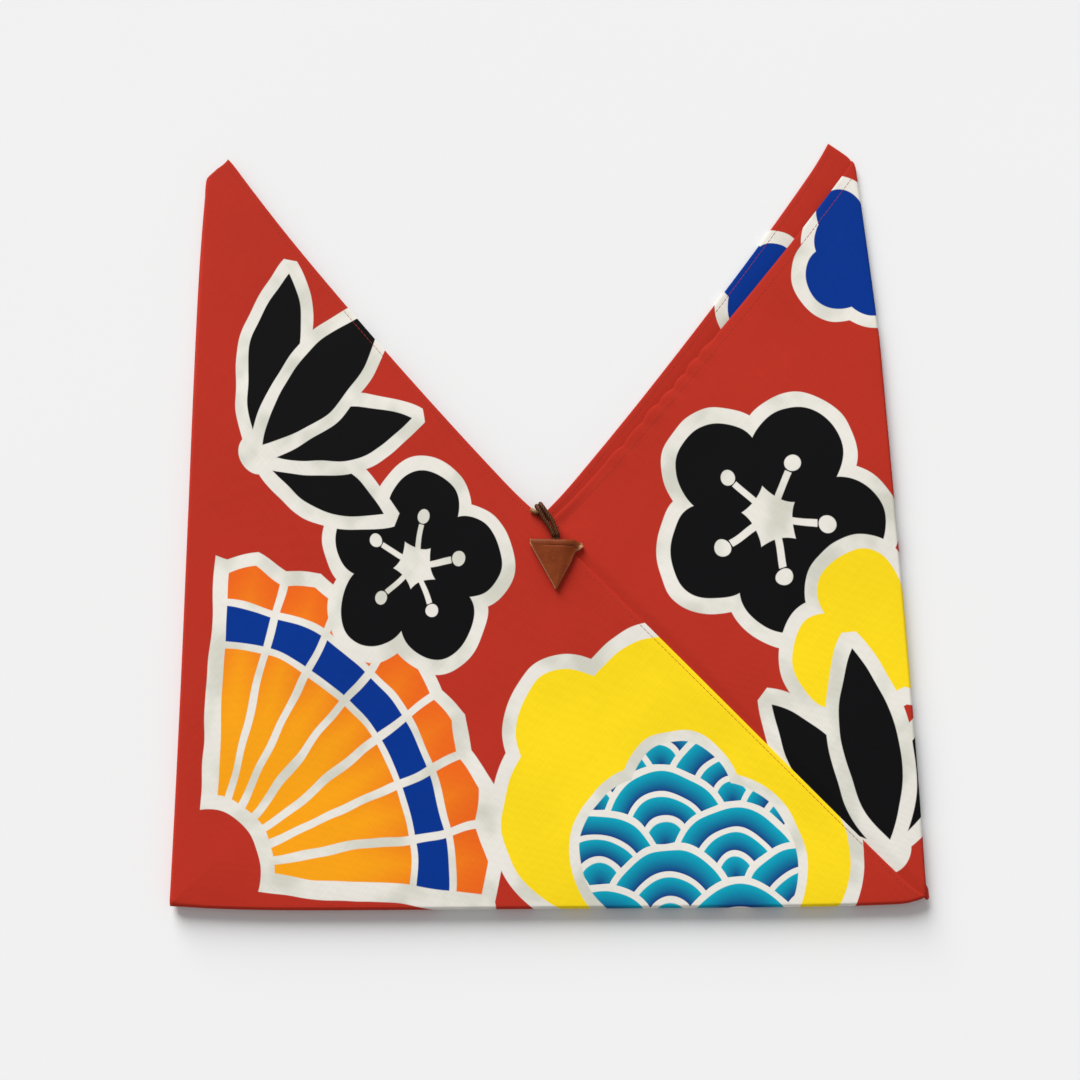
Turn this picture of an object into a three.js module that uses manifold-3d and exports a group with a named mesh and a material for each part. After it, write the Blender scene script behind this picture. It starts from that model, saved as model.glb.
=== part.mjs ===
// Bento bag folded from one strip of printed cotton, lying flat on its back panel.
// The strip wraps round the bottom and both sides and is closed by two lapped seams, one in
// front and one behind. Two pointed ears stand above the V of the mouth and knot into a handle.
// Millimetres, +Z up, +X to the right and +Y from the bottom fold towards the ears.
import * as THREE from "three";
import { mergeVertices } from "three/addons/utils/BufferGeometryUtils.js";
import Module from "manifold-3d";

// The cloth and the bag's outline as it lies, with y measured from the bottom fold
const CLOTH_WIDTH = 340;
const BOTTOM_WIDTH = CLOTH_WIDTH * Math.SQRT2;
const APEX = new THREE.Vector2(-4.8, 247);
const MOUTH_EDGE = 336;
const LEFT_RISE = 49.6;
const RIGHT_RISE = 52.9;
const EAR_BLUNT = 20;
const MOUTH_BOW = 4;
const LEFT_SIDE_BOW = 2;
const RIGHT_SIDE_BOW = 4;
const WING_STEP = 7;
const CREASE = 268;

// Thicknesses and heights above the surface the bag lies on
const CLOTH = 0.6;
const HEM_WIDTH = 6;
const HEM_THICK = 3 * CLOTH;
const SEAM_WIDTH = 8;
const TOP = 10;
const EAR_TOP = 5;
const FOLD_DEPTH = 4;
const FOLD_FACETS = 5;
const THREAD = 0.5;
const STITCH_INSET = 5;
const SEAM_STITCH_SPAN = [0.02, 0.96];
const HEM_STITCH_END = 0.99;
const GAP = 0.3;

// Leather tag, folded over the knotted end of the cord
const TAG_TOP = new THREE.Vector2(5, 234);
const TAG_WIDTH = 33;
const TAG_DROP = 32;
const LEATHER = 1.2;
const TAG_BORE = 1.75;
const TAG_SLOT = 10.6;
const TAG_REST = 12.3;
const TAG_FACETS = 24;

// Doubled cord: two strands from a bar tack inside the mouth, over the hem and down to the tag
const CORD = 2.6;
const STRAND_SPACING = 2.9;
const CORD_SIDES = 8;
const KNOT_RADIUS = 1.4;
const TACK_LENGTH = 3;
const TACK_SETBACK = 1;
const INNER_ROUTE = [
  [8.2, 232.5, 7.6], [5.2, 237.6, 7.5], [2.2, 242.7, 6.8], [-0.9, 247.9, 5.8], [-3.6, 252.5, 5.7],
  [-5.6, 255.9, 7.2], [-6.5, 257.4, 10.2], [-5.9, 256.4, 12.9], [-4.4, 253.9, 14.1],
  [-3.05, 251.56, 14.3],
];
const OUTER_ROUTE = [
  [-2.75, 251.04, 14.3], [-1.1, 248.4, 14.5], [0.9, 245.4, 14.7], [2.5, 242.4, 14.9],
  [3.8, 239.2, 15.1], [4.7, 236.4, 15.25], [5, 234.4, 15.25], [5, 232.9, 15.25],
];
const TAIL_ROUTE = [[-7.9, 251.9, 13.4], [-9.7, 253, 13.2], [-11.4, 254, 13]];

// Colours and finishes
const cloth = () => new THREE.MeshStandardMaterial({ color: 0xba3126, roughness: 0.9, metalness: 0 });
const thread = () => new THREE.MeshStandardMaterial({ color: 0x5a2038, roughness: 0.8, metalness: 0 });
const cordBrown = () => new THREE.MeshStandardMaterial({ color: 0x4a3018, roughness: 0.75, metalness: 0 });
const leather = () => new THREE.MeshStandardMaterial({ color: 0x824120, roughness: 0.6, metalness: 0 });

// An edge is a curve in plan whose middle bows to its left, and the side its cloth lies on.
// Places along it run from 0 to EDGE_END.
const EDGE_END = 1;

function edge(from, to, bow, inward) {
  const along = to.clone().sub(from);
  const leftward = new THREE.Vector2(-along.y, along.x).normalize();
  const middle = from.clone().add(to).multiplyScalar(0.5).addScaledVector(leftward, 2 * bow);
  return { curve: new THREE.QuadraticBezierCurve(from, middle, to), inward };
}

// Point at t along an edge, moved into the cloth by a distance
function inset(edge, t, distance) {
  const tangent = edge.curve.getTangent(t);
  const inwards = new THREE.Vector2(-tangent.y, tangent.x).multiplyScalar(edge.inward);
  return edge.curve.getPoint(t).addScaledVector(inwards, distance);
}

// Where along an edge, inset by a distance, a rising or falling measure passes zero
function solve(measure) {
  let low = 0;
  let high = EDGE_END;
  const lowSign = Math.sign(measure(low));
  for (let step = 0; step < 40; step += 1) {
    const middle = (low + high) / 2;
    if (Math.sign(measure(middle)) === lowSign) low = middle;
    else high = middle;
  }
  return (low + high) / 2;
}

const atHeight = (edge, y, distance) => solve((t) => inset(edge, t, distance).y - y);

// Where the first edge, inset, meets the second one, inset
function meeting(first, firstInset, second, secondInset) {
  return solve((t) => {
    const point = inset(first, t, firstInset);
    return point.x - inset(second, atHeight(second, point.y, secondInset), secondInset).x;
  });
}

function run(edge, from, to, distance, steps = 8) {
  const points = [];
  for (let i = 0; i <= steps; i += 1) points.push(inset(edge, from + ((to - from) * i) / steps, distance));
  return points;
}

// Plan of the bag: the two bottom corners, the ears and the edges between them
const leftCorner = new THREE.Vector2(-BOTTOM_WIDTH / 2, 0);
const rightCorner = new THREE.Vector2(BOTTOM_WIDTH / 2, 0);

function ear(name, rise, side, corner, sideBow) {
  const angle = THREE.MathUtils.degToRad(rise);
  const climb = new THREE.Vector2(side * Math.cos(angle), Math.sin(angle));
  const outwards = new THREE.Vector2(side * Math.sin(angle), -Math.cos(angle));
  const tip = APEX.clone().addScaledVector(climb, MOUTH_EDGE);
  const shoulder = tip.clone().addScaledVector(outwards, EAR_BLUNT);
  const wingStart = APEX.clone().addScaledVector(outwards, WING_STEP);
  return {
    name,
    tip,
    mouth: edge(APEX, tip, -side * MOUTH_BOW, -side),
    wingMouth: edge(wingStart, shoulder, -side * MOUTH_BOW, -side),
    fold: edge(corner, shoulder, -side * sideBow, side),
  };
}

const left = ear("left", LEFT_RISE, -1, leftCorner, LEFT_SIDE_BOW);
const right = ear("right", RIGHT_RISE, 1, rightCorner, RIGHT_SIDE_BOW);
const bottom = edge(leftCorner, rightCorner, 0, 1);
const LENGTH = right.tip.y;

const earFall = (TOP - EAR_TOP) / (LENGTH - CREASE);
const topAt = (y) => TOP - earFall * Math.max(0, y - CREASE);

const bag = new THREE.Group();

function add(name, geometry, material) {
  const mesh = new THREE.Mesh(geometry, material);
  mesh.name = name;
  bag.add(mesh);
}

// Flat cloth of any outline; above the crease it may fall away towards the ear's tip
function flat(outline, low, thickness, fall) {
  const geometry = new THREE.ExtrudeGeometry(new THREE.Shape(outline), {
    depth: thickness,
    bevelEnabled: false,
  });
  const slope = new THREE.Matrix4();
  slope.elements[6] = -fall;
  slope.elements[14] = low + fall * CREASE;
  return geometry.applyMatrix4(slope);
}

// Closed sweep of rings of points, each ring of the same count
function sweep(rings) {
  const count = rings[0].length;
  const positions = rings.flat().flatMap((point) => [point.x, point.y, point.z]);
  const index = [];
  for (let i = 0; i + 1 < rings.length; i += 1) {
    for (let j = 0; j < count; j += 1) {
      const here = i * count + j;
      const next = i * count + ((j + 1) % count);
      index.push(here, here + count, next, next, here + count, next + count);
    }
  }
  const last = (rings.length - 1) * count;
  for (let j = 0; 2 * j + 2 < count; j += 1) {
    const far = count - 1 - j;
    index.push(j, j + 1, far);
    index.push(last + j, last + far, last + j + 1);
    if (far - 1 > j + 1) {
      index.push(j + 1, far - 1, far);
      index.push(last + j + 1, last + far, last + far - 1);
    }
  }
  const geometry = new THREE.BufferGeometry();
  geometry.setAttribute("position", new THREE.Float32BufferAttribute(positions, 3));
  geometry.setIndex(index);
  return geometry;
}

// Half of the rounded fold along an edge, where the cloth turns from the front layer to the back one
function halfFold(edge, from, to, up, steps) {
  const rings = [];
  for (let i = 0; i <= steps; i += 1) {
    const t = from + ((to - from) * i) / steps;
    const half = topAt(inset(edge, t, FOLD_DEPTH).y) / 2;
    const start = Math.asin(GAP / 2 / (half - CLOTH));
    const ring = [];
    const arcPoint = (share, skin) => {
      const turn = start + (Math.PI / 2 - start) * share;
      const out = (FOLD_DEPTH - skin) * Math.cos(turn);
      const point = inset(edge, t, FOLD_DEPTH - out);
      ring.push(new THREE.Vector3(point.x, point.y, half + up * (half - skin) * Math.sin(turn)));
    };
    for (let j = 0; j <= FOLD_FACETS; j += 1) arcPoint(j / FOLD_FACETS, 0);
    for (let j = FOLD_FACETS; j >= 0; j -= 1) arcPoint(j / FOLD_FACETS, CLOTH);
    rings.push(edge.inward * up > 0 ? ring : ring.reverse());
  }
  return sweep(rings);
}

function turnedFold(name, edge, from, to, steps = 8) {
  add(`${name}_front`, halfFold(edge, from, to, 1, steps), cloth());
  add(`${name}_back`, halfFold(edge, from, to, -1, steps), cloth());
}

// Round tube along a list of points
function tube(points, diameter, sides, steps) {
  const section = new THREE.Shape();
  for (let i = 0; i < sides; i += 1) {
    const angle = (2 * Math.PI * (i + 0.5)) / sides;
    const corner = [(diameter / 2) * Math.cos(angle), (diameter / 2) * Math.sin(angle)];
    if (i === 0) section.moveTo(...corner);
    else section.lineTo(...corner);
  }
  section.closePath();
  return new THREE.ExtrudeGeometry(section, {
    steps,
    bevelEnabled: false,
    extrudePath: new THREE.CatmullRomCurve3(points),
  });
}

// One continuous line of sewing thread lying on the cloth
function stitching(points, low, fall) {
  const raised = points.map((point) => {
    const height = low - fall * (point.y - CREASE) + GAP + THREAD / 2;
    return new THREE.Vector3(point.x, point.y, height);
  });
  return tube(raised, THREAD, 6, points.length - 1);
}

// One layer of the bag: its main panel runs up into one ear and its wing panel into the other
function layer(name, mainEar, wingEar, seamEnd, low, earSlope) {
  const mainSide = seamEnd === rightCorner ? -1 : 1;
  const seam = edge(APEX, seamEnd, 0, mainSide);
  const wingSide = edge(APEX, seamEnd, 0, -mainSide);
  const rim = FOLD_DEPTH + GAP;
  const below = CREASE - GAP;
  const above = CREASE + GAP;
  const hemTop = low + HEM_THICK;

  const rise = (side, distance, from, to) => {
    return run(side, atHeight(side, from, distance), atHeight(side, to, distance), distance);
  };

  const seamFoot = atHeight(seam, rim, SEAM_WIDTH + GAP);
  const mainOutline = [
    ...rise(mainEar.fold, rim, below, rim),
    inset(seam, seamFoot, SEAM_WIDTH + GAP),
    inset(seam, 0, SEAM_WIDTH + GAP),
    inset(mainEar.mouth, 0, SEAM_WIDTH + GAP),
    inset(mainEar.mouth, atHeight(mainEar.mouth, below, SEAM_WIDTH + GAP), SEAM_WIDTH + GAP),
  ];
  add(`${name}_main_panel`, flat(mainOutline, low, CLOTH, 0), cloth());

  const wingFoot = meeting(wingSide, GAP, wingEar.fold, rim);
  const wingPoint = inset(wingSide, wingFoot, GAP);
  const wingOutline = [
    wingPoint,
    ...rise(wingEar.fold, rim, wingPoint.y + GAP, below),
    inset(wingEar.wingMouth, atHeight(wingEar.wingMouth, below, 0), 0),
    inset(wingEar.wingMouth, 0, 0),
  ];
  add(`${name}_wing_panel`, flat(wingOutline, low, CLOTH, 0), cloth());

  const mouthEnd = atHeight(mainEar.mouth, below, 0);
  const innerMouthEnd = atHeight(mainEar.mouth, below, SEAM_WIDTH);
  const seamOutline = [
    inset(seam, atHeight(seam, rim, 0), 0),
    APEX,
    inset(mainEar.mouth, mouthEnd, 0),
    inset(mainEar.mouth, innerMouthEnd, SEAM_WIDTH),
    inset(mainEar.mouth, 0, SEAM_WIDTH),
    inset(seam, 0, SEAM_WIDTH),
    inset(seam, atHeight(seam, rim, SEAM_WIDTH), SEAM_WIDTH),
  ];
  add(`${name}_lap_seam`, flat(seamOutline, low, HEM_THICK, 0), cloth());
  const seamStitches = run(seam, ...SEAM_STITCH_SPAN, STITCH_INSET, 2);
  add(`${name}_seam_stitching`, stitching(seamStitches, hemTop, 0), thread());

  const mainEarName = `${mainEar.name}_ear_${name}`;
  const earFoot = atHeight(mainEar.mouth, above, HEM_WIDTH + GAP);
  const earOutline = [
    ...rise(mainEar.fold, rim, above, inset(mainEar.fold, EDGE_END, rim).y),
    ...run(mainEar.mouth, EDGE_END, earFoot, HEM_WIDTH + GAP),
  ];
  add(mainEarName, flat(earOutline, low, CLOTH, earSlope), cloth());

  const mainHem = [
    ...run(mainEar.mouth, atHeight(mainEar.mouth, above, 0), EDGE_END, 0),
    ...run(mainEar.mouth, EDGE_END, atHeight(mainEar.mouth, above, HEM_WIDTH), HEM_WIDTH),
  ];
  add(`${mainEarName}_hem`, flat(mainHem, low, HEM_THICK, earSlope), cloth());
  const stitchFoot = atHeight(mainEar.mouth, above + HEM_WIDTH, STITCH_INSET);
  const mainStitches = run(mainEar.mouth, stitchFoot, HEM_STITCH_END, STITCH_INSET);
  add(`${mainEarName}_stitching`, stitching(mainStitches, hemTop, earSlope), thread());

  const wingEarName = `${wingEar.name}_ear_${name}`;
  const wingTop = meeting(wingEar.wingMouth, HEM_WIDTH + GAP, wingEar.fold, rim);
  const wingTopPoint = inset(wingEar.wingMouth, wingTop, HEM_WIDTH + GAP);
  const wingEarFoot = atHeight(wingEar.wingMouth, above, HEM_WIDTH + GAP);
  const wingEarOutline = [
    ...rise(wingEar.fold, rim, above, wingTopPoint.y - GAP),
    ...run(wingEar.wingMouth, wingTop, wingEarFoot, HEM_WIDTH + GAP),
  ];
  add(wingEarName, flat(wingEarOutline, low, CLOTH, earSlope), cloth());

  const wingHemTop = meeting(wingEar.wingMouth, 0, wingEar.fold, rim);
  const wingHem = [
    ...run(wingEar.wingMouth, atHeight(wingEar.wingMouth, above, 0), wingHemTop, 0),
    ...run(wingEar.wingMouth, wingTop, atHeight(wingEar.wingMouth, above, HEM_WIDTH), HEM_WIDTH),
  ];
  add(`${wingEarName}_hem`, flat(wingHem, low, HEM_THICK, earSlope), cloth());
  const wingStitchFoot = atHeight(wingEar.wingMouth, above + HEM_WIDTH, STITCH_INSET);
  const wingStitches = run(wingEar.wingMouth, wingStitchFoot, wingTop, STITCH_INSET);
  add(`${wingEarName}_stitching`, stitching(wingStitches, hemTop, earSlope), thread());
}

layer("front", left, right, rightCorner, TOP - CLOTH, earFall);
layer("back", right, left, leftCorner, 0, 0);

// Folds round the bottom and up both sides, parted where the ears fold over
turnedFold("bottom_fold", bottom, 0, EDGE_END, 1);
for (const side of [left, right]) {
  const foot = atHeight(side.fold, FOLD_DEPTH + GAP, 0);
  const creaseBelow = atHeight(side.fold, CREASE - GAP, 0);
  const creaseAbove = atHeight(side.fold, CREASE + GAP, 0);
  turnedFold(`${side.name}_fold`, side.fold, foot, creaseBelow);
  turnedFold(`${side.name}_ear_fold`, side.fold, creaseAbove, EDGE_END);
}

// The origin lies under the middle of the cloth
const middle = new THREE.Box3().setFromObject(bag).getCenter(new THREE.Vector3());
bag.position.set(-middle.x, -middle.y, 0);

// The cord's strands run side by side, parted at the hem where the cord lifts
function strand(route, offset) {
  return route.map(([x, y, z], i) => {
    const before = route[Math.max(0, i - 1)];
    const after = route[Math.min(route.length - 1, i + 1)];
    const across = new THREE.Vector2(before[1] - after[1], after[0] - before[0]).normalize();
    const side = Math.sign(across.x) * offset;
    return new THREE.Vector3(x + side * across.x, y + side * across.y, z);
  });
}

for (const [name, offset] of [["left", -STRAND_SPACING / 2], ["right", STRAND_SPACING / 2]]) {
  add(`cord_${name}_inner`, tube(strand(INNER_ROUTE, offset), CORD, CORD_SIDES, 14), cordBrown());
  add(`cord_${name}_outer`, tube(strand(OUTER_ROUTE, offset), CORD, CORD_SIDES, 8), cordBrown());
}
add("cord_tail", tube(strand(TAIL_ROUTE, 0), CORD, CORD_SIDES, 3), cordBrown());

// Bar tack: a staple of thread that holds both strands up under the front lap seam
const tackWidth = STRAND_SPACING + CORD + 4 * GAP;
const tackLow = INNER_ROUTE[1][2] - CORD / 2 - GAP - THREAD;
const tackHigh = TOP - CLOTH - GAP;
const tackInner = tackWidth / 2;
const tackOuter = tackInner + THREAD;
const tackOutline = [
  [-tackOuter, tackLow], [tackOuter, tackLow], [tackOuter, tackHigh], [tackInner, tackHigh],
  [tackInner, tackLow + THREAD], [-tackInner, tackLow + THREAD],
  [-tackInner, tackHigh], [-tackOuter, tackHigh],
].map(([x, z]) => new THREE.Vector2(x, z));
const tack = new THREE.ExtrudeGeometry(new THREE.Shape(tackOutline), {
  depth: TACK_LENGTH,
  bevelEnabled: false,
});
const [tackStart, tackNext] = INNER_ROUTE;
const tackHeading = Math.atan2(tackStart[0] - tackNext[0], tackNext[1] - tackStart[1]);
tack.rotateX(Math.PI / 2);
tack.translate(0, TACK_LENGTH + TACK_SETBACK, 0);
tack.rotateZ(tackHeading);
tack.translate(tackStart[0], tackStart[1], 0);
add("cord_tack", tack, thread());

// The tag: a tube of leather round the knot, running into two leaves pressed flat to a point
const wasm = await Module();
wasm.setup();

function solid(geometry) {
  const bare = geometry.index ? geometry.toNonIndexed() : geometry.clone();
  bare.deleteAttribute("normal");
  bare.deleteAttribute("uv");
  const merged = mergeVertices(bare, 1e-4);
  return new wasm.Manifold(new wasm.Mesh({
    numProp: 3,
    vertProperties: new Float32Array(merged.attributes.position.array),
    triVerts: new Uint32Array(merged.index.array),
  }));
}

function fromSolid(body) {
  const mesh = body.getMesh();
  const geometry = new THREE.BufferGeometry();
  geometry.setAttribute("position", new THREE.Float32BufferAttribute(mesh.vertProperties, 3));
  geometry.setIndex(Array.from(mesh.triVerts));
  return geometry;
}

const tagRadius = TAG_BORE + LEATHER;
const tagCentre = new THREE.Vector3(TAG_TOP.x, TAG_TOP.y - tagRadius, TAG_REST + tagRadius);
const barrel = (radius, length) => {
  const round = new THREE.CylinderGeometry(radius, radius, length, TAG_FACETS);
  return solid(round.rotateZ(Math.PI / 2).translate(...tagCentre.toArray()));
};
const leafOutline = [
  new THREE.Vector2(TAG_TOP.x - TAG_WIDTH / 2, tagCentre.y),
  new THREE.Vector2(TAG_TOP.x, TAG_TOP.y - TAG_DROP),
  new THREE.Vector2(TAG_TOP.x + TAG_WIDTH / 2, tagCentre.y),
];
const leaves = solid(flat(leafOutline, TAG_REST, 2 * LEATHER, 0));
const slot = new THREE.BoxGeometry(TAG_SLOT, tagRadius, CORD + 4 * GAP);
slot.translate(tagCentre.x, tagCentre.y + tagRadius / 2 + GAP, tagCentre.z);
const folded = leaves.add(barrel(tagRadius, TAG_WIDTH)).subtract(barrel(TAG_BORE, TAG_WIDTH + 1));
add("tag_leather", fromSolid(folded.subtract(solid(slot))), leather());

const knot = new THREE.SphereGeometry(KNOT_RADIUS, 12, 8);
knot.translate(tagCentre.x, tagCentre.y, tagCentre.z);
add("cord_knot", knot, cordBrown());

export default bag;
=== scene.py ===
import math
from functools import partial, reduce
from types import SimpleNamespace

import bmesh
import bpy
import numpy as np
from numpy.linalg import norm
from mathutils import Color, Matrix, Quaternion, Vector


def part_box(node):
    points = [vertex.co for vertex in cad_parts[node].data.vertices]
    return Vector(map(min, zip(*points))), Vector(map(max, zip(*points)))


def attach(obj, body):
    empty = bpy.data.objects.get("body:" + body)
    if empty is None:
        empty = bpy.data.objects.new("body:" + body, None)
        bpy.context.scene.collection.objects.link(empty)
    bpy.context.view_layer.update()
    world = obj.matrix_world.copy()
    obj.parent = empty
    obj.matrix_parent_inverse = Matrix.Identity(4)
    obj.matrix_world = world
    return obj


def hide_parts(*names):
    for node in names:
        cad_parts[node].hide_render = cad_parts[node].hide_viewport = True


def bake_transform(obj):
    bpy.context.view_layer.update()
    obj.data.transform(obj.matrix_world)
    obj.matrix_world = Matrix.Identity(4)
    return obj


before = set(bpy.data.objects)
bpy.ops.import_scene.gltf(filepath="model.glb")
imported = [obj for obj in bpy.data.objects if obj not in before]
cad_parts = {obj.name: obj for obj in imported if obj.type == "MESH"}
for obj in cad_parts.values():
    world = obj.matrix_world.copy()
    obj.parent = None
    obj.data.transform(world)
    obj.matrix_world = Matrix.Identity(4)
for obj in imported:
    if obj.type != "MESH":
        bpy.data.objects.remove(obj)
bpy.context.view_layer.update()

# View of the bag: it lies on a pale table and is seen from above, a little from its bottom edge,
# through a normal lens about a metre away. Places on the bag are in metres from the middle of the
# bottom fold, with y towards the ears.
LENS = 50
SENSOR = 36
CAMERA_PLACE = (-0.0055, 0.0613, 0.9883)
CAMERA_AIM = (-0.0055, 0.2347, 0.005)
CAMERA_ROLL = -0.2
fold_low, fold_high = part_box("bottom_fold_front")
FOLD_MIDDLE = Vector(((fold_low.x + fold_high.x) / 2, fold_low.y, 0))


def on_bag(x, y, z=0.0):
    return FOLD_MIDDLE + Vector((x, y, z))


def put(name, data):
    made = bpy.data.objects.new(name, data)
    bpy.context.scene.collection.objects.link(made)
    return made


camera = put("camera", bpy.data.cameras.new("camera"))
camera.data.lens = LENS
camera.data.sensor_width = SENSOR
camera.location = on_bag(*CAMERA_PLACE)
aim = (on_bag(*CAMERA_AIM) - camera.location).to_track_quat("-Z", "Y")
camera.rotation_euler = (aim @ Quaternion((0, 0, 1), math.radians(CAMERA_ROLL))).to_euler()
bpy.context.scene.camera = camera


# Doubled cord: waxed brown cord of three twisted plies, about 2.9 mm thick. Both strands are tacked
# inside the mouth, bend over the hem at the point of the V and run down side by side into the tag.
CORD = 0.0029
CORD_PLIES = 3
CORD_LAY = 0.0058
GROOVE = 0.2
PLY_ROUNDNESS = 0.8
CORD_SIDES = 30
CORD_STEP = 0.0004
CURVE_STEPS = 24
OFF_PATH = (0.31, 0.17, 0.93)
STRAND_SPACING = 0.0029
STRANDS_APART = 0.4
APART_PLACE = 0.2475
APART_REACH = 0.0045
PRESSED = 0.5
PRESS_REACH = 0.0036
PRESS_BED = 0.0012
INNER_ROUTE = [
    (0.0082, 0.2325, 0.0076), (0.0052, 0.2376, 0.0075), (0.0022, 0.2427, 0.0068),
    (-0.0009, 0.2479, 0.0058), (-0.0036, 0.2525, 0.0057), (-0.0056, 0.2559, 0.0072),
    (-0.0065, 0.2574, 0.0102), (-0.0059, 0.2564, 0.0129), (-0.0044, 0.2539, 0.0141),
]
OUTER_ROUTE = [
    (-0.0029, 0.2513, 0.0143), (-0.0011, 0.2484, 0.0145), (0.0009, 0.2454, 0.0147),
    (0.0025, 0.2424, 0.0149), (0.0038, 0.2392, 0.0151), (0.0047, 0.2364, 0.01525),
    (0.005, 0.2344, 0.01525), (0.005, 0.2329, 0.01525),
]
BEND_LOW = on_bag(-0.0029, 0.2513, 0.0107)
CORD_BROWN = "#4C2811"
# Painted shade for the grooves between the plies
CORD_GROOVE_SHADE = "#180C05"
# Painted highlight for the crowns of the plies
CORD_CROWN_HIGHLIGHT = "#7C542E"
CORE_DARK = "#7C5E3C"
CORE_PALE = "#B8966A"
FIBRES = 1500


# sRGB colour code to the linear colour that a node socket takes
def shade(code):
    parts = [int(code[i:i + 2], 16) / 255 for i in (1, 3, 5)]
    return (*Color(parts).from_srgb_to_scene_linear(), 1.0)


def ease(value, low, high):
    t = np.clip((value - low) / (high - low), 0, 1)
    return t * t * (3 - 2 * t)


def length_along(path):
    return np.concatenate([[0], np.cumsum(norm(np.diff(path, axis=0), axis=1))])


# Even points along a smooth curve through the given ones
def smooth_path(points, step):
    known = np.array(points, float)
    ends = np.vstack([2 * known[0] - known[1], known, 2 * known[-1] - known[-2]])
    share = np.linspace(0, 1, CURVE_STEPS, endpoint=False)[:, None]
    runs = []
    for a, b, c, d in zip(ends, ends[1:], ends[2:], ends[3:]):
        bend = 2 * a - 5 * b + 4 * c - d + share * (3 * b - a - 3 * c + d)
        runs.append(b + 0.5 * share * (c - a + share * bend))
    fine = np.vstack(runs + [known[-1:]])
    travelled = length_along(fine)
    stops = np.linspace(0, travelled[-1], max(2, round(travelled[-1] / step)) + 1)
    return np.column_stack([np.interp(stops, travelled, fine[:, i]) for i in range(3)])


# New mesh object with smooth faces
def piece(name, vertices, faces, *materials):
    mesh = bpy.data.meshes.new(name)
    mesh.from_pydata([tuple(v) for v in vertices], [], faces)
    mesh.shade_smooth()
    for material in materials:
        mesh.materials.append(material)
    return put(name, mesh)


# Four-sided faces between the rows of a grid of places, closed round where the rows are rings
def grid_faces(rows, columns, closed=False):
    faces = []
    for row in range(rows - 1):
        for column in range(columns if closed else columns - 1):
            here, following = row * columns + column, row * columns + (column + 1) % columns
            faces.append((here, following, following + columns, here + columns))
    return faces


# Vertices and faces of a closed tube along a path; radius(angles, travelled) is its section, which
# is set out from a direction that no path starts along
def tube(path, sides, radius):
    path = np.asarray(path, float)
    along = np.gradient(path, axis=0)
    along /= norm(along, axis=1)[:, None]
    across = np.cross(along[0], OFF_PATH)
    angles = 2 * np.pi * np.arange(sides) / sides
    rings = []
    for place, direction, reached in zip(path, along, length_along(path)):
        across = across - direction * across.dot(direction)
        across /= norm(across)
        up = np.cross(direction, across)
        reach = radius(angles, reached)
        sideways = np.outer(reach * np.cos(angles), across)
        upward = np.outer(reach * np.sin(angles), up)
        rings.append(place + sideways + upward)
    faces = grid_faces(len(path), sides, closed=True)
    faces.append(tuple(reversed(range(sides))))
    faces.append(tuple(range((len(path) - 1) * sides, len(path) * sides)))
    return np.vstack(rings), faces


# Radius of the twisted cord: round plies with narrow grooves between them
def twisted(angles, travelled):
    turn = 2 * np.pi * travelled / CORD_LAY
    crown = np.abs(np.cos(CORD_PLIES / 2 * (angles - turn))) ** PLY_ROUNDNESS
    return CORD / 2 * (1 - GROOVE + GROOVE * crown)


# New material, and its shader's inputs
def finish_of(name, roughness, gloss=0.15):
    material = bpy.data.materials.new(name)
    material.use_nodes = True
    shader = material.node_tree.nodes["Principled BSDF"].inputs
    shader["Roughness"].default_value = roughness
    shader["Specular IOR Level"].default_value = gloss
    return material, shader


def feed(socket, value):
    if isinstance(value, bpy.types.NodeSocket):
        socket.id_data.links.new(value, socket)
    else:
        socket.default_value = value


def set_up(made, settings):
    for name, value in settings.items():
        setattr(made, name, value)


# New node in a material, or else beside the nodes that feed it. What goes into it is given by the
# names or numbers of its sockets.
def node(kind, inputs=(), material=None, **settings):
    inputs = dict(inputs)
    trees = [value.id_data for value in inputs.values() if isinstance(value, bpy.types.NodeSocket)]
    made = (material.node_tree if material else trees[0]).nodes.new(f"ShaderNode{kind}")
    set_up(made, settings)
    for socket, value in inputs.items():
        feed(made.inputs[socket], value)
    return made


def reckon(operation, *values):
    return node("Math", enumerate(values), operation=operation).outputs[0]


minus = partial(reckon, "SUBTRACT")
times = partial(reckon, "MULTIPLY")
unsigned = partial(reckon, "ABSOLUTE")
nearer = partial(reckon, "MINIMUM")


def dye(share, under, over):
    return node("Mix", {0: share, 6: under, 7: over}, data_type="RGBA").outputs[2]


def on_piece(material):
    return node("TexCoord", material=material).outputs["Object"]


def noise(place, scale, detail=2.0, output="Fac"):
    return node("TexNoise", {"Scale": scale, "Detail": detail, "Vector": place}).outputs[output]


def spread(value, low, high, to_low=0.0, to_high=1.0):
    limits = {"Value": value, "From Min": low, "From Max": high, "To Min": to_low, "To Max": to_high}
    return node("MapRange", limits, interpolation_type="SMOOTHSTEP").outputs["Result"]


# Two colours that a pattern passes between
def mottle(pattern, low, high, under, over):
    return dye(spread(pattern, low, high), shade(under), shade(over))


# Gives a material its colour and its fine relief
def coat(shader, colour, height, strength, depth):
    feed(shader["Base Color"], colour)
    relief = node("Bump", {"Strength": strength, "Distance": depth, "Height": height})
    feed(shader["Normal"], relief.outputs["Normal"])


def attribute(material, name):
    return node("Attribute", material=material, attribute_name=name).outputs["Fac"]


def mark_points(made, name, values):
    marks = made.data.attributes.new(name, "FLOAT", "POINT")
    marks.data.foreach_set("value", np.array(np.broadcast_to(values, len(marks.data)), float))
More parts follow.
